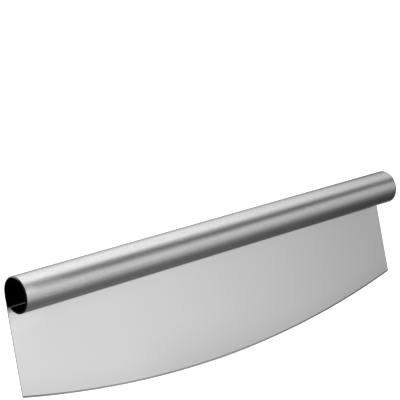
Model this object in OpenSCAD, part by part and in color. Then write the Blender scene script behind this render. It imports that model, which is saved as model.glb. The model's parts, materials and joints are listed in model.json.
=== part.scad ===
// Rocking pizza knife: a long blade with a curved cutting edge under an open tube handle.
// Seen from the end it is a P. The blade stands behind the tube and runs straight up
// into its back, and the tube's sheet ends in a free lip in front of the blade.
// X runs along the handle, the front is -Y, and the blade points down.
// The origin is the middle of the handle's axis.

/* [Handle] */
// Outside diameter of the rolled handle
handle_d = 25.4; // [22:0.1:32]
// Length of the handle, end to end
handle_len = 356; // [250:1:420]
// Where the free lip stops, in degrees below the back of the tube
lip_angle = 45; // [35:1:70]
// Broken edge round the inside of both rims of the tube
rim_break = 0.2; // [0.1:0.05:0.25]
// Rounding round the outside of both rims of the tube
rim_round = 0.5; // [0.1:0.1:0.5]

/* [Sheet] */
// Thickness of the sheet steel, the same in the handle and the blade so that they butt flush
sheet_t = 1; // [0.8:0.1:1.6]
// Height of the dressed butt weld along the back
weld_h = 1.2; // [0.8:0.1:2.5]

/* [Blade] */
// How far the blade's bottom corners lie below the handle's axis
corner_depth = 69.1; // [60:0.1:76]
// How far the curved edge drops below the corners at mid-length
edge_drop = 20.4; // [12:0.2:32]
// How far the blade stands out past each end of the handle at the shoulders
shoulder_out = 0.3; // [0:0.1:2]
// How far the blade stands out past each end of the handle at the bottom corners
corner_out = 1.2; // [0:0.1:4]
// How far the necks under the handle's ends lie below its axis
neck_depth = 6; // [4:0.5:9]
// How far the shoulders lie below the handle's axis
shoulder_depth = 15; // [12:0.5:20]

/* [Cutting edge] */
// Height of the ground bevel on each face
bevel_h = 1.4; // [0.6:0.1:2.5]
// Flat that is left along the very edge
edge_land = 0.12; // [0.1:0.02:0.3]

/* [Hidden] */

steel = "silver";
weld_steel = "lightgray";

// Spare length that cutters reach past what they cut
over = 1;
// Circles are fine enough that the long edge stays a smooth arc
handle_fn = 180;
edge_fn = 720;
// Steps in the rounding of a rim
rim_steps = 4;

handle_r = handle_d / 2;
bore_r = handle_r - sheet_t;
half_len = handle_len / 2;
weld_half = weld_h / 2;
blade_front = handle_r - sheet_t;

// The cutting edge is one arc through both bottom corners
corner_x = half_len + corner_out;
edge_depth = corner_depth + edge_drop;
edge_r = (corner_x * corner_x + edge_drop * edge_drop) / (2 * edge_drop);

// The blade's sides run on in line past the corners, so that the arc alone ends them
side_slope = (corner_out - shoulder_out) / (corner_depth - shoulder_depth);
side_foot = corner_x + side_slope * (edge_drop + over);

// Stands a drawing of the end view, with X across and Y up, along the handle
module along_handle(length) {
    rotate([90, 0, 90])
        linear_extrude(height = length, center = true)
            children();
}

// An outline that runs down the first list of points and back up the second
function outline(down, up) = [for (p = down) p, for (i = [len(up) - 1:-1:0]) up[i]];

// Half of the blade's outline as points, from the top down, on the side that s names
function blade_side(s) = [
    [s * half_len, -weld_half],
    [s * half_len, -neck_depth],
    [s * (half_len + shoulder_out), -shoulder_depth],
    [s * side_foot, -edge_depth - over]
];

// The blade before grinding, with its foot left long
module blade_blank() {
    translate([0, handle_r, 0])
        rotate([90, 0, 0])
            linear_extrude(height = sheet_t)
                polygon(outline(blade_side(1), blade_side(-1)));
}

// A disc whose rim is the ground edge, standing in the blade's plane
module edge_disc() {
    half_t = sheet_t / 2;
    half_land = edge_land / 2;
    translate([0, handle_r - half_t, edge_r - edge_depth])
        rotate([90, 0, 0])
            rotate_extrude($fn = edge_fn)
                polygon([
                    [0, -half_t],
                    [edge_r - bevel_h, -half_t],
                    [edge_r, -half_land],
                    [edge_r, half_land],
                    [edge_r - bevel_h, half_t],
                    [0, half_t]
                ]);
}

module blade() {
    color(steel)
        intersection() {
            blade_blank();
            edge_disc();
        }
}

// One rim in profile, from the bore outwards: a broken inner edge, then a rounded outer one
function rim(s) = [
    [bore_r, s * (half_len - rim_break)],
    [bore_r + rim_break, s * half_len],
    for (i = [rim_steps:-1:0])
        let (a = 90 * i / rim_steps)
        [handle_r - rim_round * (1 - cos(a)), s * (half_len - rim_round * (1 - sin(a)))]
];

// The tube before the roll's gap is taken out of it
module closed_tube() {
    rotate([0, 90, 0])
        rotate_extrude($fn = handle_fn)
            polygon(outline(rim(-1), rim(1)));
}

// What the roll leaves open, in the end view: the weld's upper half, then the slot down to the lip
module roll_gap() {
    reach = handle_d;
    translate([0, -over])
        square([reach, weld_half + over]);
    polygon([
        [0, 0],
        [reach, 0],
        [reach * cos(lip_angle), -reach * sin(lip_angle)]
    ]);
}

module handle_tube() {
    color(steel)
        difference() {
            closed_tube();
            along_handle(handle_len + 2 * over) roll_gap();
        }
}

// The weld fills the joint flush: round above the tangent line, flat below it
module back_weld() {
    color(weld_steel) {
        intersection() {
            closed_tube();
            along_handle(handle_len + 2 * over)
                square([handle_d, weld_half]);
        }
        along_handle(handle_len)
            translate([blade_front, -weld_half])
                square([sheet_t, weld_half]);
    }
}

blade();
handle_tube();
back_weld();
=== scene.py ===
import json
import math
from collections import namedtuple

import bpy
from mathutils import Matrix, Vector


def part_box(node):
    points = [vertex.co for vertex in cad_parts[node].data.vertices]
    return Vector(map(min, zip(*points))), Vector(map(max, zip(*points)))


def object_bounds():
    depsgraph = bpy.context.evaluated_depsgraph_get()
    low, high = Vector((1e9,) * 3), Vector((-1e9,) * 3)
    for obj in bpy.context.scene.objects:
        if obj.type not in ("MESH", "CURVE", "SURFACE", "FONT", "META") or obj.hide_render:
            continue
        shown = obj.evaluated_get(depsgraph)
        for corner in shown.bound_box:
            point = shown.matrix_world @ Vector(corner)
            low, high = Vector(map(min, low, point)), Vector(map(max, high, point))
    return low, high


MM = 0.001
WHITE = (1, 1, 1, 1)

# The photograph's camera: round the knife to the left, a little above it, leaning to one side
CAMERA_AZIMUTH = -39.662
CAMERA_ELEVATION = 6.259
CAMERA_ROLL = 10.024
CAMERA_DISTANCE = 1.0828
CAMERA_AIM = (-0.0014, 0.0125, 0.0266)
SENSOR_WIDTH = 36.0
CAMERA_LENS = 134.80

# A pale table, bright enough to run into the backdrop without a line
FLOOR_SIZE = 60.0
FLOOR_GLOW = 0.62
FLOOR_WHITE = 0.80
FLOOR_ROUGHNESS = 0.9
BACKDROP_WHITE = 1.05

# From here on, a name that ends in EDGE is a soft step: its middle and its half width.

# The studio as the steel mirrors it. Turn is the angle round the handle's axis, in degrees up
# from straight in front, so 90 is overhead. The rear wall's turn starts from straight behind.
# Reach is how far to the right a direction points, from -1 to 1. Levels and glows are brightness.
OVERHEAD = 90.0
OVERHEAD_GLOW = 1.18
OVERHEAD_FRONT_EDGE = (57.5, 18)
OVERHEAD_REAR_EDGE = (155, 35)
OVERHEAD_REAR_DROP = 15
OVERHEAD_DROP_REACH_EDGE = (0.70, 0.02)
OVERHEAD_REACH_EDGE = (0.762, 0.18)
FRONT_GLOW = 0.71
FRONT_TOP_EDGE = (13.5, 14)
FRONT_TOP_MIDDLE = 0.60
FRONT_TOP_CURVE = 1080
FRONT_LOW_EDGE = (-40, 34)
FRONT_LOW_START = 0.62
FRONT_LOW_RISE = 165
FRONT_REACH_EDGE = (0.766, 0.05)
LEFT_GLOW = 2.4
LEFT_LOW_EDGE = (20, 11)
LEFT_TOP_EDGE = (43, 11)
LEFT_NEAR_REACH_EDGE = (0.20, 0.08)
LEFT_FAR_REACH_EDGE = (0.484, 0.018)
ROOM_GLOW = 0.18
ROOM_REACH_EDGE = (0.702, 0.10)
REAR_GLOW = 0.72
REAR_LOW_EDGE = (-50, 12)
REAR_TOP_EDGE = (14, 8)
REAR_RIGHT_DROP = 28
REAR_DROP_REACH_EDGE = (0.42, 0.06)
RIGHT_GLOW = 1.05
RIGHT_LOW_LEVEL = 0.32
RIGHT_HEIGHT_EDGE = (40, 45)
RIGHT_REACH_EDGE = (0.81, 0.05)
SIDE_LEVEL = 0.62
FULL_LEVEL_REACH_EDGE = (0.38, 0.08)

# Steel finishes: how much light each sends back, how rough it is, how far the brushing stretches
# its gloss, and how deep its grain is
BLADE_GREY = 0.89
BLADE_ROUGHNESS = 0.30
BLADE_ANISOTROPY = 0.83
BLADE_GRAIN_DEPTH = 0.0006 * MM
CUT_SIDE_GREY = 0.42
CUT_SIDE_ROUGHNESS = 0.40
HANDLE_GREY = 0.62
HANDLE_ROUGHNESS = 0.215
HANDLE_ANISOTROPY = 0.78
HANDLE_GRAIN_DEPTH = 0.0008 * MM
HANDLE_EDGE_TINT = 0.60
# The cut rims are painted near black as shade, lighter towards the top and the back as painted light
RIM_SHADE_GREY = 0.012
RIM_REAR_LIT_GREY = 0.30
# The inside of the roll is painted near black as shade
INSIDE_SHADE_GREY = 0.015
INSIDE_ROUGHNESS = 0.45
WELD_GREY = 0.58
WELD_ROUGHNESS = 0.34
WELD_ANISOTROPY = 0.4
WELD_GRAIN_DEPTH = 0.0012 * MM

# The grain of the steels: how long its streaks are along the handle and how wide across it, and
# its share in the grey, the roughness and the bump
Grain = namedtuple("Grain", "length width grey roughness bump")
BLADE_HAIRS = Grain(length=22 * MM, width=0.16 * MM, grey=0.05, roughness=0.06, bump=1.0)
BLADE_LINES = Grain(length=90 * MM, width=1.1 * MM, grey=0.03, roughness=0.03, bump=0.5)
BLADE_CLOUDS = Grain(length=70 * MM, width=22 * MM, grey=0.02, roughness=0.04, bump=0)
HANDLE_HAIRS = Grain(length=14 * MM, width=0.20 * MM, grey=0.05, roughness=0.05, bump=1.0)
HANDLE_MARKS = Grain(length=3.2 * MM, width=0.7 * MM, grey=0.15, roughness=0, bump=0)
HANDLE_LINES = Grain(length=45 * MM, width=1.4 * MM, grey=0.11, roughness=0.04, bump=0.5)
HANDLE_CLOUDS = Grain(length=40 * MM, width=9 * MM, grey=0.04, roughness=0.05, bump=0)
WELD_HAIRS = Grain(length=8 * MM, width=0.25 * MM, grey=0.08, roughness=0.10, bump=1.0)
STREAK_DETAIL = 2.0

# The curved edge drops this far below the blade's corners
EDGE_DROP = 20.4 * MM

# The blade has painted shade towards its right end, over its foot just above the curved edge and at
# the foot of its middle, and painted light at its left end, most of all in the upper corner there.
# The heights of the foot, the middle and the bevel are above the curved edge. All other places are
# from the origin.
RIGHT_SHADE_EDGE = (40 * MM, 150 * MM)
RIGHT_SHADE_LOSS = 0.14
LEFT_END_EDGE = (-165 * MM, 20 * MM)
LEFT_END_LIGHT_GAIN = 0.03
CORNER_RIGHT_EDGE = (-155 * MM, 14 * MM)
CORNER_LOW_EDGE = (-24 * MM, 5 * MM)
CORNER_LIGHT_GAIN = 0.065
FOOT_TOP_EDGE = (8 * MM, 9 * MM)
FOOT_SHADE_LOSS = 0.06
MIDDLE_TOP_EDGE = (24 * MM, 14 * MM)
MIDDLE_LEFT_EDGE = (-70 * MM, 28 * MM)
MIDDLE_RIGHT_EDGE = (40 * MM, 70 * MM)
MIDDLE_SHADE_LOSS = 0.065

# The bevel is a line of painted shade, darkest at its left end, that ends in painted light a
# little brighter than the blade's face at the right
BEVEL_TOP_EDGE = (1.4 * MM, 0.1 * MM)
BEVEL_SHADE_LOSS = 0.18
BEVEL_RIGHT_LIGHT_GAIN = 0.252
BEVEL_LEFT_EDGE = (-152 * MM, 24 * MM)
BEVEL_LEFT_SHADE_LOSS = 0.18

# On its front the blade has painted shade close under the lip, and is painted black as shade
# inside the roll
LIP_SHADE_EDGE = (-11.9 * MM, 0.8 * MM)
LIP_SHADE_LOSS = 0.27
ROLL_EDGE = (-8.55 * MM, 0.6 * MM)
FRONT_HALF_WIDTH = 0.1 * MM

# The handle's underside has painted shade, except near its right end
UNDERSIDE_EDGE = (-9.8 * MM, 1.4 * MM)
UNDERSIDE_RIGHT_EDGE = (125 * MM, 30 * MM)
UNDERSIDE_SHADE_LOSS = 0.22

# A small painted glint on the front of the handle, just behind its left rim
SPOT_RIGHT_EDGE = (-170.5 * MM, 4 * MM)
SPOT_LOW_EDGE = (1.2 * MM, 1.6 * MM)
SPOT_TOP_EDGE = (6.0 * MM, 2.0 * MM)
SPOT_REAR_EDGE = (-3 * MM, 3 * MM)
SPOT_GLINT_GAIN = 0.17

# A face ends the sheet where its normal leans at least this far to the left or the right
CUT_FACE_LEAN = 0.15

# The band of painted shade round the handle's rims, and their broken inner edge. A rim has painted
# light towards the top and the back, where the back counts for more.
RIM_SHADE_BAND_WIDTH = 0.8 * MM
RIM_SHADE_BAND_SOFTNESS = 0.1 * MM
RIM_BREAK = 0.2 * MM
RIM_REAR_SHARE = 1.5
RIM_REAR_EDGE = (3 * MM, 8 * MM)


def feed(tree, value, socket):
    """Gives a socket its value: a number, or what another node puts out."""
    if isinstance(value, (int, float)):
        socket.default_value = value
    else:
        tree.links.new(value, socket)


def math_node(tree, operation, first, second=0.0):
    made = tree.nodes.new("ShaderNodeMath")
    made.operation = operation
    feed(tree, first, made.inputs[0])
    feed(tree, second, made.inputs[1])
    return made.outputs[0]


def total(tree, *values):
    out = values[0]
    for value in values[1:]:
        out = math_node(tree, "ADD", out, value)
    return out


def product(tree, *values):
    out = values[0]
    for value in values[1:]:
        out = math_node(tree, "MULTIPLY", out, value)
    return out


def difference(tree, first, second):
    return math_node(tree, "SUBTRACT", first, second)


def shifted(tree, value, shift):
    if isinstance(value, (int, float)):
        return value + shift
    return math_node(tree, "ADD", value, shift)


def rise(tree, value, edge):
    """0 below the edge and 1 above it, with a smooth slope between."""
    middle, half_width = edge
    made = tree.nodes.new("ShaderNodeMapRange")
    made.interpolation_type = "SMOOTHSTEP"
    tree.links.new(value, made.inputs["Value"])
    feed(tree, shifted(tree, middle, -half_width), made.inputs["From Min"])
    feed(tree, shifted(tree, middle, half_width), made.inputs["From Max"])
    return made.outputs["Result"]


def fall(tree, value, edge):
    """1 below the edge and 0 above it."""
    return difference(tree, 1.0, rise(tree, value, edge))


def between(tree, value, low_edge, high_edge):
    return product(tree, rise(tree, value, low_edge), fall(tree, value, high_edge))


def add_camera():
    azimuth = math.radians(CAMERA_AZIMUTH)
    elevation = math.radians(CAMERA_ELEVATION)
    back = Vector((
        math.sin(azimuth) * math.cos(elevation),
        -math.cos(azimuth) * math.cos(elevation),
        math.sin(elevation),
    ))
    data = bpy.data.cameras.new("camera")
    data.sensor_width = SENSOR_WIDTH
    data.lens = CAMERA_LENS
    camera = bpy.data.objects.new("camera", data)
    bpy.context.scene.collection.objects.link(camera)
    upright = back.to_track_quat("Z", "Y").to_matrix().to_4x4()
    lean = Matrix.Rotation(math.radians(-CAMERA_ROLL), 4, "Z")
    place = Matrix.Translation(Vector(CAMERA_AIM) + back * CAMERA_DISTANCE)
    camera.matrix_world = place @ upright @ lean
    bpy.context.scene.camera = camera


def add_floor(lowest):
    half = FLOOR_SIZE / 2
    mesh = bpy.data.meshes.new("floor")
    corners = [(x, y, lowest) for x, y in ((-half, -half), (half, -half), (half, half), (-half, half))]
    mesh.from_pydata(corners, [], [(0, 1, 2, 3)])
    floor = bpy.data.objects.new("floor", mesh)
    bpy.context.scene.collection.objects.link(floor)
    floor.visible_glossy = False
    material = bpy.data.materials.new("pale_floor")
    material.use_nodes = True
    shader = material.node_tree.nodes["Principled BSDF"]
    shader.inputs["Base Color"].default_value = (FLOOR_WHITE, FLOOR_WHITE, FLOOR_WHITE, 1)
    shader.inputs["Roughness"].default_value = FLOOR_ROUGHNESS
    shader.inputs["Emission Color"].default_value = WHITE
    shader.inputs["Emission Strength"].default_value = FLOOR_GLOW
    mesh.materials.append(material)


def overhead_light(tree, turn, reach):
    """The soft light overhead, which ends further forward at the right."""
    middle, half_width = OVERHEAD_REAR_EDGE
    drop = product(tree, rise(tree, reach, OVERHEAD_DROP_REACH_EDGE), -OVERHEAD_REAR_DROP)
    rear_edge = (math_node(tree, "ADD", drop, middle), half_width)
    shape = between(tree, turn, OVERHEAD_FRONT_EDGE, rear_edge)
    return product(tree, shape, fall(tree, reach, OVERHEAD_REACH_EDGE), OVERHEAD_GLOW)


def front_light(tree, turn, reach):
    """The bright wall in front, its top edge bowed and its low edge climbing to the right."""
    top_middle, top_half_width = FRONT_TOP_EDGE
    aside = difference(tree, reach, FRONT_TOP_MIDDLE)
    bow = product(tree, aside, aside, FRONT_TOP_CURVE)
    top_edge = (math_node(tree, "ADD", bow, top_middle), top_half_width)
    low_middle, low_half_width = FRONT_LOW_EDGE
    past = math_node(tree, "MAXIMUM", difference(tree, reach, FRONT_LOW_START), 0.0)
    climb = product(tree, past, FRONT_LOW_RISE)
    low_edge = (math_node(tree, "ADD", climb, low_middle), low_half_width)
    shape = between(tree, turn, low_edge, top_edge)
    return product(tree, shape, fall(tree, reach, FRONT_REACH_EDGE), FRONT_GLOW)


def left_light(tree, turn, reach):
    """The lamp that the handle's left end mirrors in the photograph's view."""
    shape = between(tree, turn, LEFT_LOW_EDGE, LEFT_TOP_EDGE)
    span = between(tree, reach, LEFT_NEAR_REACH_EDGE, LEFT_FAR_REACH_EDGE)
    return product(tree, shape, span, LEFT_GLOW)


def rear_light(tree, rear_turn, reach):
    """The wall behind, which stays below the horizon at the right."""
    middle, half_width = REAR_TOP_EDGE
    drop = product(tree, rise(tree, reach, REAR_DROP_REACH_EDGE), -REAR_RIGHT_DROP)
    top_edge = (math_node(tree, "ADD", drop, middle), half_width)
    return product(tree, between(tree, rear_turn, REAR_LOW_EDGE, top_edge), REAR_GLOW)


def room_light(tree, reach):
    """The even glow of the room, all round apart from the far right."""
    return product(tree, fall(tree, reach, ROOM_REACH_EDGE), ROOM_GLOW)


def right_light(tree, turn, reach):
    """The far right wall, brighter above than below."""
    from_overhead = math_node(tree, "ABSOLUTE", difference(tree, turn, OVERHEAD))
    upper = product(tree, fall(tree, from_overhead, RIGHT_HEIGHT_EDGE), 1 - RIGHT_LOW_LEVEL)
    slope = total(tree, upper, RIGHT_LOW_LEVEL)
    return product(tree, slope, rise(tree, reach, RIGHT_REACH_EDGE), RIGHT_GLOW)


def side_level(tree, reach):
    """Dims what only the other views mirror, so that pale steel stands out from the backdrop."""
    lift = product(tree, rise(tree, reach, FULL_LEVEL_REACH_EDGE), 1 - SIDE_LEVEL)
    return total(tree, lift, SIDE_LEVEL)


def degrees_between(tree, up, ahead):
    return product(tree, math_node(tree, "ARCTAN2", up, ahead), 180 / math.pi)


def studio_glow(tree):
    """How bright the studio is in each direction."""
    direction = tree.nodes.new("ShaderNodeTexCoord").outputs["Generated"]
    split = tree.nodes.new("ShaderNodeSeparateXYZ")
    tree.links.new(direction, split.inputs[0])
    reach, rearward, up = split.outputs
    turn = degrees_between(tree, up, product(tree, rearward, -1.0))
    rear_turn = degrees_between(tree, up, rearward)
    glow = total(
        tree,
        overhead_light(tree, turn, reach),
        front_light(tree, turn, reach),
        left_light(tree, turn, reach),
        rear_light(tree, rear_turn, reach),
        room_light(tree, reach),
        right_light(tree, turn, reach),
    )
    return product(tree, glow, side_level(tree, reach))


def light_studio():
    """The steel mirrors the studio, and the camera sees a plain white backdrop."""
    world = bpy.data.worlds.new("studio")
    bpy.context.scene.world = world
    world.use_nodes = True
    tree = world.node_tree
    tree.nodes.clear()
    studio = tree.nodes.new("ShaderNodeBackground")
    studio.inputs["Color"].default_value = WHITE
    tree.links.new(studio_glow(tree), studio.inputs["Strength"])
    backdrop = tree.nodes.new("ShaderNodeBackground")
    backdrop.inputs["Color"].default_value = WHITE
    backdrop.inputs["Strength"].default_value = BACKDROP_WHITE
    seen = tree.nodes.new("ShaderNodeLightPath").outputs["Is Camera Ray"]
    either = tree.nodes.new("ShaderNodeMixShader")
    tree.links.new(seen, either.inputs[0])
    tree.links.new(studio.outputs[0], either.inputs[1])
    tree.links.new(backdrop.outputs[0], either.inputs[2])
    out = tree.nodes.new("ShaderNodeOutputWorld")
    tree.links.new(either.outputs[0], out.inputs["Surface"])


class Finish:
    """One steel: a Principled shader whose colour, roughness and bump come from nodes."""

    def __init__(self, name, grains):
        self.material = bpy.data.materials.new(name)
        self.material.use_nodes = True
        self.tree = self.material.node_tree
        self.shader = self.tree.nodes["Principled BSDF"]
        self.shader.inputs["Metallic"].default_value = 1.0
        self.place = self.tree.nodes.new("ShaderNodeTexCoord").outputs["Object"]
        split = self.tree.nodes.new("ShaderNodeSeparateXYZ")
        self.tree.links.new(self.place, split.inputs[0])
        self.x, self.y, self.z = split.outputs
        self.grains = grains
        self.noises = [self.streaks(grain.length, grain.width) for grain in grains]

    def streaks(self, length, width):
        """Noise from -0.5 to 0.5, drawn out along the handle to streaks of this size."""
        mapping = self.tree.nodes.new("ShaderNodeMapping")
        mapping.inputs["Scale"].default_value = (1 / length, 1 / width, 1 / width)
        self.tree.links.new(self.place, mapping.inputs["Vector"])
        noise = self.tree.nodes.new("ShaderNodeTexNoise")
        noise.inputs["Scale"].default_value = 1.0
        noise.inputs["Detail"].default_value = STREAK_DETAIL
        self.tree.links.new(mapping.outputs[0], noise.inputs["Vector"])
        return difference(self.tree, noise.outputs["Fac"], 0.5)

    def varied(self, base, shares):
        """The base value with each grain's share of its noise added on."""
        out = base
        for noise, share in zip(self.noises, shares):
            if share:
                out = total(self.tree, out, product(self.tree, noise, share))
        return out

    def grained_grey(self, base):
        return self.varied(base, [grain.grey for grain in self.grains])

    def grained_roughness(self, base):
        return self.varied(base, [grain.roughness for grain in self.grains])

    def brush_along_handle(self, anisotropy):
        """The brush marks run along the handle, so the gloss spreads round it."""
        self.shader.inputs["Anisotropic"].default_value = anisotropy
        tangent = self.tree.nodes.new("ShaderNodeTangent")
        tangent.direction_type = "RADIAL"
        tangent.axis = "X"
        self.tree.links.new(tangent.outputs[0], self.shader.inputs["Tangent"])

    def distance(self, *sides):
        squares = [product(self.tree, side, side) for side in sides]
        return math_node(self.tree, "SQRT", total(self.tree, *squares))

    def cut_face(self):
        """1 on the faces that end the sheet at the left and right, 0 elsewhere."""
        normal = self.tree.nodes.new("ShaderNodeNewGeometry").outputs["True Normal"]
        split = self.tree.nodes.new("ShaderNodeSeparateXYZ")
        self.tree.links.new(normal, split.inputs[0])
        aside = math_node(self.tree, "ABSOLUTE", split.outputs["X"])
        return math_node(self.tree, "GREATER_THAN", aside, CUT_FACE_LEAN)

    def rim(self, half_length):
        """1 on the tube's cut ends and the band of painted shade round them, 0 elsewhere."""
        from_middle = math_node(self.tree, "ABSOLUTE", self.x)
        shade_band = rise(self.tree, from_middle, (half_length - RIM_SHADE_BAND_WIDTH, RIM_SHADE_BAND_SOFTNESS))
        return math_node(self.tree, "MAXIMUM", self.cut_face(), shade_band)

    def rim_shade_grey(self):
        """The cut rim of the tube, painted near black as shade and lighter towards the top and the back as
        painted light.
        """
        rearward = total(self.tree, product(self.tree, self.y, RIM_REAR_SHARE), self.z)
        return self.blend(rise(self.tree, rearward, RIM_REAR_EDGE), RIM_SHADE_GREY, RIM_REAR_LIT_GREY)

    def bore(self, bore_radius):
        """1 on the inside of the roll and on its broken inner edge, which are painted black as shade, 0
        elsewhere.
        """
        radius = self.distance(self.y, self.z)
        return math_node(self.tree, "LESS_THAN", radius, bore_radius + RIM_BREAK)

    def blend(self, mask, plain, masked):
        """The plain value where the mask is 0 and the masked one where it is 1."""
        mix = self.tree.nodes.new("ShaderNodeMix")
        mix.data_type = "FLOAT"
        feed(self.tree, mask, mix.inputs["Factor"])
        feed(self.tree, plain, mix.inputs["A"])
        feed(self.tree, masked, mix.inputs["B"])
        return mix.outputs[0]

    def set_grey(self, value):
        grey = self.tree.nodes.new("ShaderNodeCombineColor")
        for socket in grey.inputs:
            self.tree.links.new(value, socket)
        self.tree.links.new(grey.outputs[0], self.shader.inputs["Base Color"])

    def set_roughness(self, value):
        self.tree.links.new(value, self.shader.inputs["Roughness"])

    def set_bump(self, depth):
        height = self.varied(0.0, [grain.bump for grain in self.grains])
        bump = self.tree.nodes.new("ShaderNodeBump")
        bump.inputs["Strength"].default_value = 1.0
        bump.inputs["Distance"].default_value = depth
        self.tree.links.new(height, bump.inputs["Height"])
        self.tree.links.new(bump.outputs[0], self.shader.inputs["Normal"])


def height_above_edge(finish, low, high):
    """How far a point of the blade lies above its curved edge, which is one arc."""
    radius = (high.x ** 2 + EDGE_DROP ** 2) / (2 * EDGE_DROP)
    up_from_centre = difference(finish.tree, finish.z, low.z + radius)
    return difference(finish.tree, radius, finish.distance(finish.x, up_from_centre))


# How much painted shade darkens the bevel, turning to painted light towards the right
def bevel_shade(finish, to_right):
    tree = finish.tree
    return total(
        tree,
        product(tree, to_right, -BEVEL_RIGHT_LIGHT_GAIN),
        product(tree, fall(tree, finish.x, BEVEL_LEFT_EDGE), BEVEL_LEFT_SHADE_LOSS),
        BEVEL_SHADE_LOSS,
    )


def blade_painted_shading(finish, above_edge):
    """How much painted shade darkens the blade in each place, below 0 where painted light brightens it."""
    tree = finish.tree
    to_right = rise(tree, finish.x, RIGHT_SHADE_EDGE)
    left_end = fall(tree, finish.x, LEFT_END_EDGE)
    over_foot = rise(tree, above_edge, MIDDLE_TOP_EDGE)
    corner = product(tree, fall(tree, finish.x, CORNER_RIGHT_EDGE), rise(tree, finish.z, CORNER_LOW_EDGE))
    middle = between(tree, finish.x, MIDDLE_LEFT_EDGE, MIDDLE_RIGHT_EDGE)
    middle_foot = product(tree, fall(tree, above_edge, MIDDLE_TOP_EDGE), middle)
    return total(
        tree,
        product(tree, to_right, RIGHT_SHADE_LOSS),
        product(tree, left_end, over_foot, -LEFT_END_LIGHT_GAIN),
        product(tree, corner, -CORNER_LIGHT_GAIN),
        product(tree, fall(tree, above_edge, FOOT_TOP_EDGE), FOOT_SHADE_LOSS),
        product(tree, middle_foot, MIDDLE_SHADE_LOSS),
        product(tree, fall(tree, above_edge, BEVEL_TOP_EDGE), bevel_shade(finish, to_right)),
    )


def blade_steel(low, high):
    finish = Finish("blade_steel", (BLADE_HAIRS, BLADE_LINES, BLADE_CLOUDS))
    tree = finish.tree
    finish.brush_along_handle(BLADE_ANISOTROPY)
    front = fall(tree, finish.y, ((low.y + high.y) / 2, FRONT_HALF_WIDTH))
    # Painted shade under the lip, and the front painted black as shade inside the roll
    under_lip = product(tree, rise(tree, finish.z, LIP_SHADE_EDGE), front, LIP_SHADE_LOSS)
    in_roll = product(tree, rise(tree, finish.z, ROLL_EDGE), front)
    loss = total(tree, blade_painted_shading(finish, height_above_edge(finish, low, high)), under_lip)
    cut = finish.cut_face()
    grey = finish.grained_grey(difference(tree, BLADE_GREY, loss))
    grey = finish.blend(cut, grey, CUT_SIDE_GREY)
    finish.set_grey(finish.blend(in_roll, grey, INSIDE_SHADE_GREY))
    rough = finish.grained_roughness(BLADE_ROUGHNESS)
    finish.set_roughness(finish.blend(cut, rough, CUT_SIDE_ROUGHNESS))
    finish.set_bump(BLADE_GRAIN_DEPTH)
    return finish.material


def handle_painted_grey(finish):
    """The handle's grey before its grain: painted shade below, a painted glint in one spot."""
    tree = finish.tree
    below = fall(tree, finish.z, UNDERSIDE_EDGE)
    loss = product(tree, below, fall(tree, finish.x, UNDERSIDE_RIGHT_EDGE), UNDERSIDE_SHADE_LOSS)
    left_front = product(tree, fall(tree, finish.x, SPOT_RIGHT_EDGE), fall(tree, finish.y, SPOT_REAR_EDGE))
    glint = product(tree, between(tree, finish.z, SPOT_LOW_EDGE, SPOT_TOP_EDGE), left_front, SPOT_GLINT_GAIN)
    return difference(tree, total(tree, glint, HANDLE_GREY), loss)


def handle_steel(half_length, bore_radius):
    finish = Finish("handle_steel", (HANDLE_HAIRS, HANDLE_MARKS, HANDLE_LINES, HANDLE_CLOUDS))
    finish.brush_along_handle(HANDLE_ANISOTROPY)
    tint = (HANDLE_EDGE_TINT, HANDLE_EDGE_TINT, HANDLE_EDGE_TINT, 1)
    finish.shader.inputs["Specular Tint"].default_value = tint
    # The bore and the rims take their painted-shade greys
    bore = finish.bore(bore_radius)
    rim = finish.rim(half_length)
    grey = finish.blend(rim, finish.grained_grey(handle_painted_grey(finish)), finish.rim_shade_grey())
    finish.set_grey(finish.blend(bore, grey, INSIDE_SHADE_GREY))
    dull = math_node(finish.tree, "MAXIMUM", bore, rim)
    rough = finish.grained_roughness(HANDLE_ROUGHNESS)
    finish.set_roughness(finish.blend(dull, rough, INSIDE_ROUGHNESS))
    finish.set_bump(HANDLE_GRAIN_DEPTH)
    return finish.material


def weld_steel(bore_radius):
    finish = Finish("weld_steel", (WELD_HAIRS,))
    finish.brush_along_handle(WELD_ANISOTROPY)
    # The weld's cut faces and its part in the bore are painted dark as shade, like the handle's
    grey = finish.blend(finish.cut_face(), finish.grained_grey(WELD_GREY), finish.rim_shade_grey())
    finish.set_grey(finish.blend(finish.bore(bore_radius), grey, INSIDE_SHADE_GREY))
    finish.set_roughness(finish.grained_roughness(WELD_ROUGHNESS))
    finish.set_bump(WELD_GRAIN_DEPTH)
    return finish.material


def dress(part, material):
    part.data.materials.clear()
    part.data.materials.append(material)


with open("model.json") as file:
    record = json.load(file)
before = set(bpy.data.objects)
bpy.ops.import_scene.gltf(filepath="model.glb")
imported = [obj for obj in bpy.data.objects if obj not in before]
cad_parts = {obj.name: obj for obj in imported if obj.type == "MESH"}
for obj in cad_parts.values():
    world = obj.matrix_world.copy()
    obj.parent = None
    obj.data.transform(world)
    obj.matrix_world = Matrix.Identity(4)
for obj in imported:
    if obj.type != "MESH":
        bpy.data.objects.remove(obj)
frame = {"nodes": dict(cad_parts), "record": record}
cad_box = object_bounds()
bpy.context.scene.view_settings.view_transform = "Standard"

add_camera()
add_floor(cad_box[0].z)
light_studio()

mounts = {mount["name"]: mount for mount in frame["record"]["mounts"]}
bore_radius = mounts["handle_bore"]["dims"]["r_mm"] * MM
half_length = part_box("handle_tube")[1].x
dress(frame["nodes"]["blade"], blade_steel(*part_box("blade")))
dress(frame["nodes"]["handle_tube"], handle_steel(half_length, bore_radius))
dress(frame["nodes"]["back_weld"], weld_steel(bore_radius))
